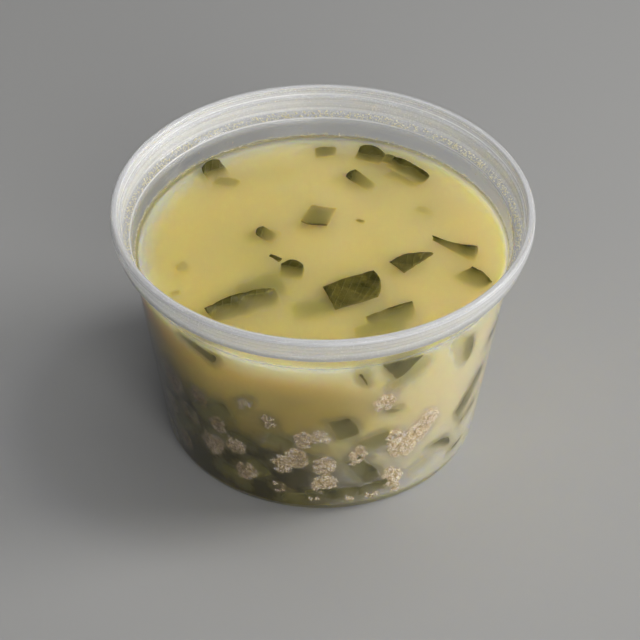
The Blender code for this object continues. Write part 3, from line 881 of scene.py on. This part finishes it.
def lumpMesh(name, crumbles, firstIndex):
    # the front mark keeps the grains off the lumps' backs
    bm = bmesh.new()
    bmesh.ops.create_icosphere(bm, subdivisions=3, radius=1.0)
    ways, sides = np.array([v.co for v in bm.verts]), [[v.index for v in f.verts] for f in bm.faces]
    bm.free()
    verts, faces, front = [], [], []
    for k, crumble in enumerate(crumbles):
        azimuth, height, wide, tall, turn, near = crumble
        for x, y, deep, radius in crumbleLumps(crumble, firstIndex + k):
            shift = Vector((azimuth, height, x * 7))
            bulges = [noise.noise(Vector(way) * radius / crumbleForm["lumpySize"] + shift) for way in ways]
            swell = (1 + crumbleForm["lumpy"] * np.array(bulges)) * radius
            points = alongWall(azimuth, height, turn, x + ways[:, 0] * swell, y + ways[:, 1] * swell,
                               deep - ways[:, 2] * swell * crumbleForm["squash"])
            faces += [[i + len(verts) for i in side] for side in sides]
            verts.extend((points * mm).tolist())
            front.extend((ways[:, 2] > -0.1).astype(float).tolist())
    return meshOf(name, verts, faces, front=front)


def grainedLumps():
    # small grains of uneven shape stand all over the lumps; lengths are given in millimetres
    tree, given = newGroup("grainedLumps", "GeometryNodeTree", {
        "Geometry": "Geometry", "Spacing": "Float", "Grain Size": "Float", "Seed": "Int",
        "Material": "Material"}, {"Geometry": "Geometry"})
    front = addNode(tree, "GeometryNodeInputNamedAttribute", {"Name": "front"}, data_type="FLOAT")
    points = addNode(tree, "GeometryNodeDistributePointsOnFaces", {
        "Mesh": given["Geometry"], "Distance Min": times(given["Spacing"], mm), "Seed": given["Seed"],
        "Density Max": 2.0 / (grainForm["densest"] * mm) ** 2, "Density Factor": front.outputs[0]},
        distribute_method="POISSON")
    grain = addNode(tree, "GeometryNodeMeshIcoSphere", {"Radius": mm, "Subdivisions": 1})
    sides = drawn(given, "FLOAT_VECTOR", 1, (grainForm["smallest"],) * 3, (grainForm["largest"],) * 3)
    size = addNode(tree, "ShaderNodeVectorMath", {0: sides, "Scale": given["Grain Size"]}, operation="SCALE")
    strewn = addNode(tree, "GeometryNodeInstanceOnPoints", {
        "Points": points.outputs["Points"], "Instance": grain.outputs["Mesh"],
        "Rotation": drawn(given, "FLOAT_VECTOR", 2, (0.0,) * 3, (2 * math.pi,) * 3),
        "Scale": size.outputs["Vector"]})
    real = addNode(tree, "GeometryNodeRealizeInstances", {"Geometry": strewn.outputs["Instances"]})
    marked = addNode(tree, "GeometryNodeStoreNamedAttribute", {
        "Geometry": real.outputs["Geometry"], "Name": "grainTop", "Value": 1.0},
        data_type="FLOAT", domain="POINT")
    joined = addNode(tree, "GeometryNodeJoinGeometry")
    for geometry in (marked.outputs["Geometry"], given["Geometry"]):
        give(joined.inputs["Geometry"], geometry)
    return dressed(given, joined.outputs["Geometry"])


def crumbleMesh(name, crumbles, firstIndex, tree, mat):
    mesh = throughNodes(lumpMesh(name, crumbles, firstIndex), tree, {**grains, "Material": mat})
    mesh.name = name
    places = np.empty(len(mesh.vertices) * 3)
    mesh.vertices.foreach_get("co", places)
    places = keptInside(places.reshape(-1, 3) / mm) * mm
    mesh.vertices.foreach_set("co", places.ravel())
    mesh.update()
    print(name, len(mesh.polygons), "faces")
    return mesh


meatLook = {
    # a lit pale copy and a shaded browner copy of the meat's colours: painted light and painted shade
    "pale": [(0.20, (0.42, 0.27, 0.12)), (0.42, (0.80, 0.60, 0.35)), (0.66, (1.0, 0.84, 0.58)),
             (0.92, (1.0, 0.95, 0.78))],
    "brown": [(0.25, (0.075, 0.042, 0.012)), (0.55, (0.24, 0.14, 0.050)), (0.92, (0.50, 0.33, 0.15))],
    # the shaded browner copy at one place and the lit pale copy at the other, from left to right
    "shadedAt": -40.0, "litAt": 18.0, "spreadScale": 420.0, "wobble": 1.2, "gapScale": 620.0,
    "toneScale": 110.0,
}


def cookedMeat():
    mat, tree = newMaterial("cookedMeat")
    place = coordinates(tree)["Object"]
    spread = noiseAt(place, meatLook["spreadScale"], 4.0, 0.65)
    # wavering gaps between small lumps are painted darker as shade, and the grains' tops painted paler as
    # light
    wobble = addNode(tree, "ShaderNodeVectorMath", {
        0: spread.node.outputs["Color"], 1: (meatLook["wobble"] * mm,) * 3, 2: place},
        operation="MULTIPLY_ADD")
    gaps = mapRange(edgeCells(wobble.outputs["Vector"], meatLook["gapScale"]), 0.02, 0.22, -0.26, 0.16)
    mixed = plus(times(attribute(tree, "grainTop"), 0.45), times(spread, 0.7), gaps)
    # the crumbles get browner towards the left as painted shade and paler towards the right as painted light,
    # and differ a little from one to the next
    toneAndShade = plus(mapSize(sideOf(axes(place)), meatLook["shadedAt"], meatLook["litAt"], 0.1, 1.05),
                mapRange(noiseAt(place, meatLook["toneScale"], 1.0), 0.3, 0.7, -0.2, 0.2))
    return finished(mat, principled(tree, {
        "Base Color": mixColours(toneAndShade, ramp(mixed, meatLook["brown"]), ramp(mixed, meatLook["pale"])),
        "Roughness": 0.6, "IOR": 1.35, "Specular IOR Level": 0.3, "Normal": bumpFrom(spread, 0.5, 0.1)}))


wallDepths = []
farLeaves, farCrumbles = randomSide()
meatMaterial, grainTree = cookedMeat(), grainedLumps()
for pieceName, leaves in (("wallGreens", wallLeaves), ("farWallGreens", farLeaves)):
    mesh = joinedLeaves(pieceName, [(forSheet(leaf), atWall(leaf)) for leaf in leaves], wallDepths)
    addPiece(pieceName, mesh, leafMaterial)
for pieceName, crumbles, firstIndex in (("meatCrumbles", wallCrumbles, 0),
                                        ("farMeatCrumbles", farCrumbles, crumbleForm["farFirst"])):
    mesh = crumbleMesh(pieceName, crumbles, firstIndex, grainTree, meatMaterial)
    addPiece(pieceName, mesh, meatMaterial)
print("greens and meat at the wall done")


# broth: cloudy skin and volume round a denser core

cloud = {
    # the scattering: mean free path, how much of it goes forwards, and the film where the broth climbs
    "freePath": 0.6, "forward": 0.82, "film": 0.34, "filmFrom": (59.53, 50.0), "filmTo": (60.0, 51.2),
    "leastVeil": 0.012, "mostVeil": 0.03, "liquid": (1.0, 0.97, 0.86), "scatter": (0.998, 0.87, 0.27),
    "shadow": (0.97, 0.97, 0.95),
    # the surface's rings, and how it climbs the leaves that stand in it
    "ringGap": 0.7, "edgeRings": 18, "wallStep": 1.5, "leafRise": 0.28, "leafReach": 0.8, "ripple": 0.04,
    "rippleScale": 160,
    # the core: depth under the surface, distance behind the wall lower down and just under the surface
    "coreDepth": 3.2, "coreInset": 1.1, "topInset": 0.3, "topFrom": 46.0, "topTo": 55.0, "coreFloor": 0.7,
    "edgeRise": 2.4, "edgeRounding": 0.5, "edgeReach": 4.2, "coreLumps": 0.3, "lumpSize": 8.0,
    "coreSegments": 240, "topRings": 44, "wallRings": 46, "floorRings": (36.0, 30.0, 20.0, 10.0, 0.0),
    # dents in the core behind greens and meat at the wall, and the reach of the haze round both
    "dentGap": 0.9, "dentReach": 3.2, "meatDent": 1.3, "meatDentReach": 1.6, "hazeDepth": 1.2,
    "greensReach": 2.6, "meatReach": 1.1, "meatFull": 1.6, "facingDepth": 5.0,
    # the settled part on the left comes almost to the wall, so that its painted shade shows darker
    "nearWall": 0.12, "press": 0.75, "settledRight": 20.0, "settledFade": 25.0,
}


def clamped(value):
    return min(1.0, max(0.0, value))


def brothProfile():
    inset = tub["wall"] - soup["intoWall"]
    edge = wallRadius(soup["level"] + soup["rise"], inset)
    steep = edge - 3 * soup["reach"]
    rings = round(steep / cloud["ringGap"])
    radii = [steep * i / rings for i in range(rings)]
    shares = [i / cloud["edgeRings"] for i in range(cloud["edgeRings"] + 1)]
    radii += [steep + (edge - steep) * (1 - (1 - share) ** 1.5) for share in shares]
    points = [(r, soup["level"] + soup["rise"] * math.exp((r - edge) / soup["reach"])) for r in radii]
    top = points[-1][1]
    low = baseCorner(inset)
    heights = [top - i * cloud["wallStep"] for i in range(1, int((top - low[0][1]) / cloud["wallStep"]))]
    points += [(wallRadius(height, inset), height) for height in heights]
    return points + low + floorLine(inset)


def brothMesh():
    mesh = turnedMesh("cloudyBroth", brothProfile())
    wet = kdtree.KDTree(len(wetPoints))
    for i, p in enumerate(wetPoints):
        wet.insert(Vector((p.x, p.y, 0.0)), i)
    wet.balance()
    for v in mesh.vertices:
        if v.co.z / mm > soup["level"] - 0.01:
            distance = wet.find(Vector((v.co.x, v.co.y, 0.0)))[2] / mm
            v.co.z += cloud["leafRise"] * mm * math.exp(-distance / cloud["leafReach"])
            v.co.z += cloud["ripple"] * mm * noise.noise(v.co * cloud["rippleScale"])
    return mesh


def crumbleGaps(flat):
    # how far each unrolled point lies from the middle of each crumble, and the crumble's mean radius
    for azimuth, height, wide, tall, turn, near in wallCrumbles + farCrumbles:
        turned = azimuth if azimuth < 180 else azimuth - 360
        arcLength = math.radians(turned) * wallRadius(height, tub["wall"])
        yield np.linalg.norm(flat - np.array([arcLength, height]), axis=1), (wide + tall) / 4


def dentsRound(points):
    # how far behind the wall the core has to stay, so that the greens at the wall have broth behind them
    flat, needed = unrolled(points), np.zeros(len(points))
    for leafPoints in wallDepths:
        gap = np.linalg.norm(flat[:, None, :] - leafPoints[None, :, :2], axis=2)
        nearness = np.clip(1.0 - gap / cloud["dentReach"], 0.0, 1.0)
        nearness = nearness * nearness * (3.0 - 2.0 * nearness)
        wanted = (leafPoints[None, :, 2] + cloud["dentGap"]) * nearness ** 0.5
        needed = np.maximum(needed, wanted.max(axis=1))
    for gap, radius in crumbleGaps(flat):
        nearness = np.clip(1.0 - (gap - radius) / cloud["meatDentReach"], 0.0, 1.0)
        needed = np.maximum(needed, cloud["meatDent"] * nearness)
    return needed


def hazeRound(points):
    # how near each core point lies to greens and to meat, for the soft haze round both
    flat, greens, meat = unrolled(points), np.zeros(len(points)), np.zeros(len(points))
    for leafPoints in wallDepths:
        near = leafPoints[leafPoints[:, 2] < cloud["hazeDepth"]]
        if len(near):
            gap = np.linalg.norm(flat[:, None, :] - near[None, :, :2], axis=2).min(axis=1)
            greens = np.maximum(greens, np.clip(1.0 - gap / cloud["greensReach"], 0.0, 1.0))
    for gap, radius in crumbleGaps(flat):
        meat = np.maximum(meat, np.clip(cloud["meatFull"] - gap / (cloud["meatReach"] * radius), 0.0, 1.0))
    facing = np.array([behindWall(p) < cloud["facingDepth"] for p in points])
    return greens * facing, meat * facing


def coreInset(height):
    # the core comes nearer the wall just under the surface
    share = clamped((height - cloud["topFrom"]) / (cloud["topTo"] - cloud["topFrom"]))
    return tub["wall"] + cloud["coreInset"] + (cloud["topInset"] - cloud["coreInset"]) * share


def coreProfile(top, lowest):
    shoulder = top + cloud["edgeRise"] - cloud["edgeRounding"]
    flat = wallRadius(shoulder, coreInset(shoulder)) - cloud["edgeRounding"]
    points = []
    for i in range(cloud["topRings"] + 1):
        radius = flat * i / cloud["topRings"]
        share = max(0.0, 1 - (flat - radius) / cloud["edgeReach"])
        points.append((radius, top + cloud["edgeRise"] * share ** 2))
    points += arc(flat, shoulder, cloud["edgeRounding"], 90, 0)[1:]
    low = baseCorner(tub["wall"] + cloud["coreInset"])
    for i in range(1, cloud["wallRings"]):
        z = shoulder + (low[0][1] - shoulder) * i / cloud["wallRings"]
        points.append((wallRadius(z, coreInset(z)), z))
    return points + low + [(radius, lowest) for radius in cloud["floorRings"]]


def coreMesh():
    top, lowest = soup["level"] - cloud["coreDepth"], tub["wall"] + tub["recess"] + cloud["coreFloor"]
    mesh = turnedMesh("brothCore", coreProfile(top, lowest), segments=cloud["coreSegments"])
    places = [v.co / mm for v in mesh.vertices]
    for v, place, dent in zip(mesh.vertices, places, dentsRound(places)):
        flat, away = math.hypot(place.x, place.y), behindWall(place)
        lump = noise.noise(place / cloud["lumpSize"]) * cloud["coreLumps"]
        if flat > 1.0 and place.z > lowest + 0.1:
            # the settled part on the left reaches almost to the wall, so that it looks dark: settled matter,
            # and painted shade
            under = settling["from"] - place.z - settling["lean"] * place.x
            settled = clamped(under / (settling["from"] - settling["to"]))
            settled *= clamped((cloud["settledRight"] - place.x) / cloud["settledFade"])
            closer = (cloud["coreInset"] - cloud["nearWall"]) * settled
            dent = max(0.0, dent - cloud["press"] * settled)
            target = flat + closer - max(0.0, dent - away + closer) - abs(lump) * (1.0 - settled)
            v.co.x, v.co.y = v.co.x * target / flat, v.co.y * target / flat
        if place.z > top - 0.01 and away > cloud["coreInset"] + 1.0:
            v.co.z += lump * mm
    for mark, values in zip(nearShades, hazeRound(places)):
        mesh.attributes.new(mark, "FLOAT", "POINT").data.foreach_set("value", values.tolist())
    return mesh


def cloudyBroth():
    mat, tree = newMaterial("cloudyBroth")
    place = coordinates(tree)["Object"]
    parts = axes(place)
    liquid = principled(tree, {
        "Base Color": cloud["liquid"], "Transmission Weight": 1.0, "IOR": 1.33, "Roughness": 0.02,
        "Specular Tint": (0.0, 0.0, 0.0)})
    (lowFrom, innerFrom), (lowTo, innerTo) = cloud["filmFrom"], cloud["filmTo"]
    climbed = times(mapSize(parts["Z"], lowFrom, lowTo), mapSize(radiusOf(parts), innerFrom, innerTo))
    colour = mixColours(climbed, brothShadeAt(place)["Colour"], brothShades["film"])
    veil = principled(tree, {"Base Color": colour, "Roughness": 0.08, "IOR": 1.33})
    share = plus(mapRange(driftAt(place), 0.3, 0.7, cloud["leastVeil"], cloud["mostVeil"]),
                 times(climbed, cloud["film"]))
    scatter = addNode(tree, "ShaderNodeVolumeScatter", {
        "Color": cloud["scatter"], "Density": 1.0 / (cloud["freePath"] * mm), "Anisotropy": cloud["forward"]})
    surface = litThrough(blendShaders(share, liquid, veil), cloud["shadow"])
    return finished(mat, surface, Volume=scatter.outputs["Volume"])


# the core's colours near greens and near meat, at the left and at the right, and their strength; darker on
# the left as painted shade, paler on the right as painted light
nearShades = {"greensNear": ((0.014, 0.011, 0.002), (0.20, 0.16, 0.04), 0.8),
              "meatNear": ((0.040, 0.027, 0.010), (0.84, 0.72, 0.50), 0.75)}


def coreBroth():
    mat, tree = newMaterial("coreBroth")
    place = coordinates(tree)["Object"]
    # near greens and meat the core turns from painted shade on the left to painted light on the right
    colour, across = brothShadeAt(place)["Colour"], mapSize(sideOf(axes(place)), -8.0, 24.0)
    for mark, (left, right, strength) in nearShades.items():
        near = times(attribute(tree, mark), strength)
        colour = mixColours(near, colour, mixColours(across, left, right))
    return finished(mat, principled(tree, {
        "Base Color": colour, "Roughness": 1.0, "Specular IOR Level": 0.0, "Subsurface Weight": 1.0,
        "Subsurface Scale": 0.010, "Subsurface Radius": (1.0, 0.75, 0.25)}))


addPiece("cloudyBroth", brothMesh(), cloudyBroth(), ["broth"])
addPiece("brothCore", coreMesh(), coreBroth())
print("broth done")


# droplets on the ledge, beads along the edge of the broth and small bubbles behind the wall

bandInputs = ("Count", "Inner Radius", "Outer Radius", "Inner Height", "Outer Height", "From", "To",
              "Smallest", "Largest", "Flatness", "Seed")
droplets = {
    "ledgeDroplets": (2600, 53.4, 55.1, 65.6, 66.55, 0.0, 360.0, 0.13, 0.33, 0.6, 3),
    "edgeBeads": (620, 51.9, 52.2, 60.0, 60.8, -50.0, 200.0, 0.11, 0.27, 0.9, 11),
    "collarSpecks": (260, 55.3, 55.45, 66.9, 70.8, 0.0, 360.0, 0.07, 0.16, 1.0, 19),
    "wallSpecks": (130, 52.2, 52.75, 61.2, 65.0, -40.0, 220.0, 0.08, 0.2, 1.0, 23),
}


def bandOfBeads():
    # beads strewn over the band between two rings; lengths are given in millimetres
    kinds = {label: "Int" if label in ("Count", "Seed") else "Float" for label in bandInputs}
    tree, given = newGroup("bandOfBeads", "GeometryNodeTree", {
        "Geometry": "Geometry", **kinds, "Material": "Material"}, {"Geometry": "Geometry"})

    def between(low, high, share):
        return times(plus(given[low], times(minus(given[high], given[low]), share)), mm)

    across = drawn(given, "FLOAT", 0)
    radius = between("Inner Radius", "Outer Radius", across)
    turn = combine("RADIANS", drawn(given, "FLOAT", 1, given["From"], given["To"]))
    place = addNode(tree, "ShaderNodeCombineXYZ", {
        "X": times(radius, combine("COSINE", turn)), "Y": times(radius, combine("SINE", turn)),
        "Z": between("Inner Height", "Outer Height", across)})
    points = addNode(tree, "GeometryNodePoints", {
        "Count": given["Count"], "Position": place.outputs["Vector"]})
    # the third power makes most beads small
    size = between("Smallest", "Largest", combine("POWER", drawn(given, "FLOAT", 2), 3.0))
    scale = addNode(tree, "ShaderNodeCombineXYZ", {"X": size, "Y": size, "Z": times(size, given["Flatness"])})
    bead = addNode(tree, "GeometryNodeMeshUVSphere", {"Segments": 8, "Rings": 5, "Radius": 1.0})
    strewn = addNode(tree, "GeometryNodeInstanceOnPoints", {
        "Points": points.outputs[0], "Instance": bead.outputs["Mesh"], "Scale": scale.outputs["Vector"]})
    real = addNode(tree, "GeometryNodeRealizeInstances", {"Geometry": strewn.outputs["Instances"]})
    return dressed(given, real.outputs["Geometry"])


def brothDroplet():
    mat, tree = newMaterial("brothDroplet")
    tint = ramp(noiseAt(coordinates(tree)["Object"], 900.0, 1.0), [
        (0.35, (1.0, 0.96, 0.80)), (0.6, (0.93, 0.86, 0.56))])
    return finished(mat, principled(tree, {
        "Base Color": tint, "Roughness": 0.06, "IOR": 1.4, "Transmission Weight": 0.25}))


beadTree, dropletMaterial = bandOfBeads(), brothDroplet()
for pieceName, values in droplets.items():
    inputs = dict(zip(bandInputs, values), Material=dropletMaterial)
    mesh = throughNodes(bpy.data.meshes.new(pieceName), beadTree, inputs)
    mesh.name = pieceName
    addPiece(pieceName, mesh, dropletMaterial)
print("droplets done")


# stage, lights and camera

stage = {"reach": 1.5, "floor": (0.50, 0.50, 0.495), "world": (0.88, 0.89, 0.90), "worldStrength": 0.14,
         "aim": (0, 0, 0.04)}
lamps = {
    "keyLamp": {"at": (1.0, 0.05, 0.62), "size": 0.5, "power": 5.4, "tint": (1.0, 0.98, 0.95)},
    "glintLamp": {"at": (0.555, 0.077, 1.015), "size": 0.25, "power": 1.5, "tint": (1.0, 1.0, 1.0)},
    "topLamp": {"at": (0.1, 0.2, 1.1), "size": 0.8, "power": 0.9, "tint": (0.98, 0.99, 1.0)},
    "frontLamp": {"at": (0.40, -1.20, 0.62), "size": 0.8, "power": 6.2, "tint": (1.0, 0.99, 0.97)},
}
view = {"distance": 900.0, "elevation": 39.67, "aimX": -0.45, "aimZ": 33.45, "focalPixels": 3180.0,
        "roll": 0.5, "framePixels": 640, "sensor": 36.0}


def plainFloor():
    reach = stage["reach"]
    mesh = bpy.data.meshes.new("floor")
    mesh.from_pydata([(-reach, -reach, 0), (reach, -reach, 0), (reach, reach, 0), (-reach, reach, 0)], [],
                     [(0, 1, 2, 3)])
    mat, tree = newMaterial("paleFloor")
    mesh.materials.append(finished(mat, principled(tree, {"Base Color": stage["floor"], "Roughness": 0.7})))
    obj = bpy.data.objects.new("floor", mesh)
    bpy.context.scene.collection.objects.link(obj)


def addLamps():
    for name, lamp in lamps.items():
        light = bpy.data.lights.new(name, "AREA")
        light.shape = "DISK"
        light.size = lamp["size"]
        light.energy = lamp["power"]
        light.color = lamp["tint"]
        obj = bpy.data.objects.new(name, light)
        obj.location = lamp["at"]
        aim = Vector(stage["aim"]) - Vector(lamp["at"])
        obj.rotation_euler = aim.to_track_quat("-Z", "Y").to_euler()
        bpy.context.scene.collection.objects.link(obj)
    world = bpy.data.worlds.new("studio")
    world.use_nodes = True
    background = world.node_tree.nodes["Background"]
    give(background.inputs["Color"], stage["world"])
    give(background.inputs["Strength"], stage["worldStrength"])
    bpy.context.scene.world = world


def addCamera():
    camera = bpy.data.cameras.new("camera")
    camera.sensor_width = view["sensor"]
    camera.lens = view["focalPixels"] / view["framePixels"] * view["sensor"]
    camera.clip_start = 0.05
    obj = bpy.data.objects.new("camera", camera)
    tilt = math.radians(view["elevation"])
    away = Vector((0, -math.cos(tilt), math.sin(tilt))) * view["distance"]
    aim = Vector((view["aimX"], 0, view["aimZ"]))
    rolled = Matrix.Rotation(math.radians(view["roll"]), 4, "Z")
    facing = Matrix.Rotation(math.pi / 2 - tilt, 4, "X")
    obj.matrix_world = Matrix.Translation((aim + away) * mm) @ facing @ rolled
    bpy.context.scene.collection.objects.link(obj)
    bpy.context.scene.camera = obj


plainFloor()
addLamps()
addCamera()
scene = bpy.context.scene
scene.view_settings.view_transform = "Standard"
scene.cycles.max_bounces = 40
scene.cycles.volume_bounces = 40
scene.cycles.transparent_max_bounces = 16
print("stage done")
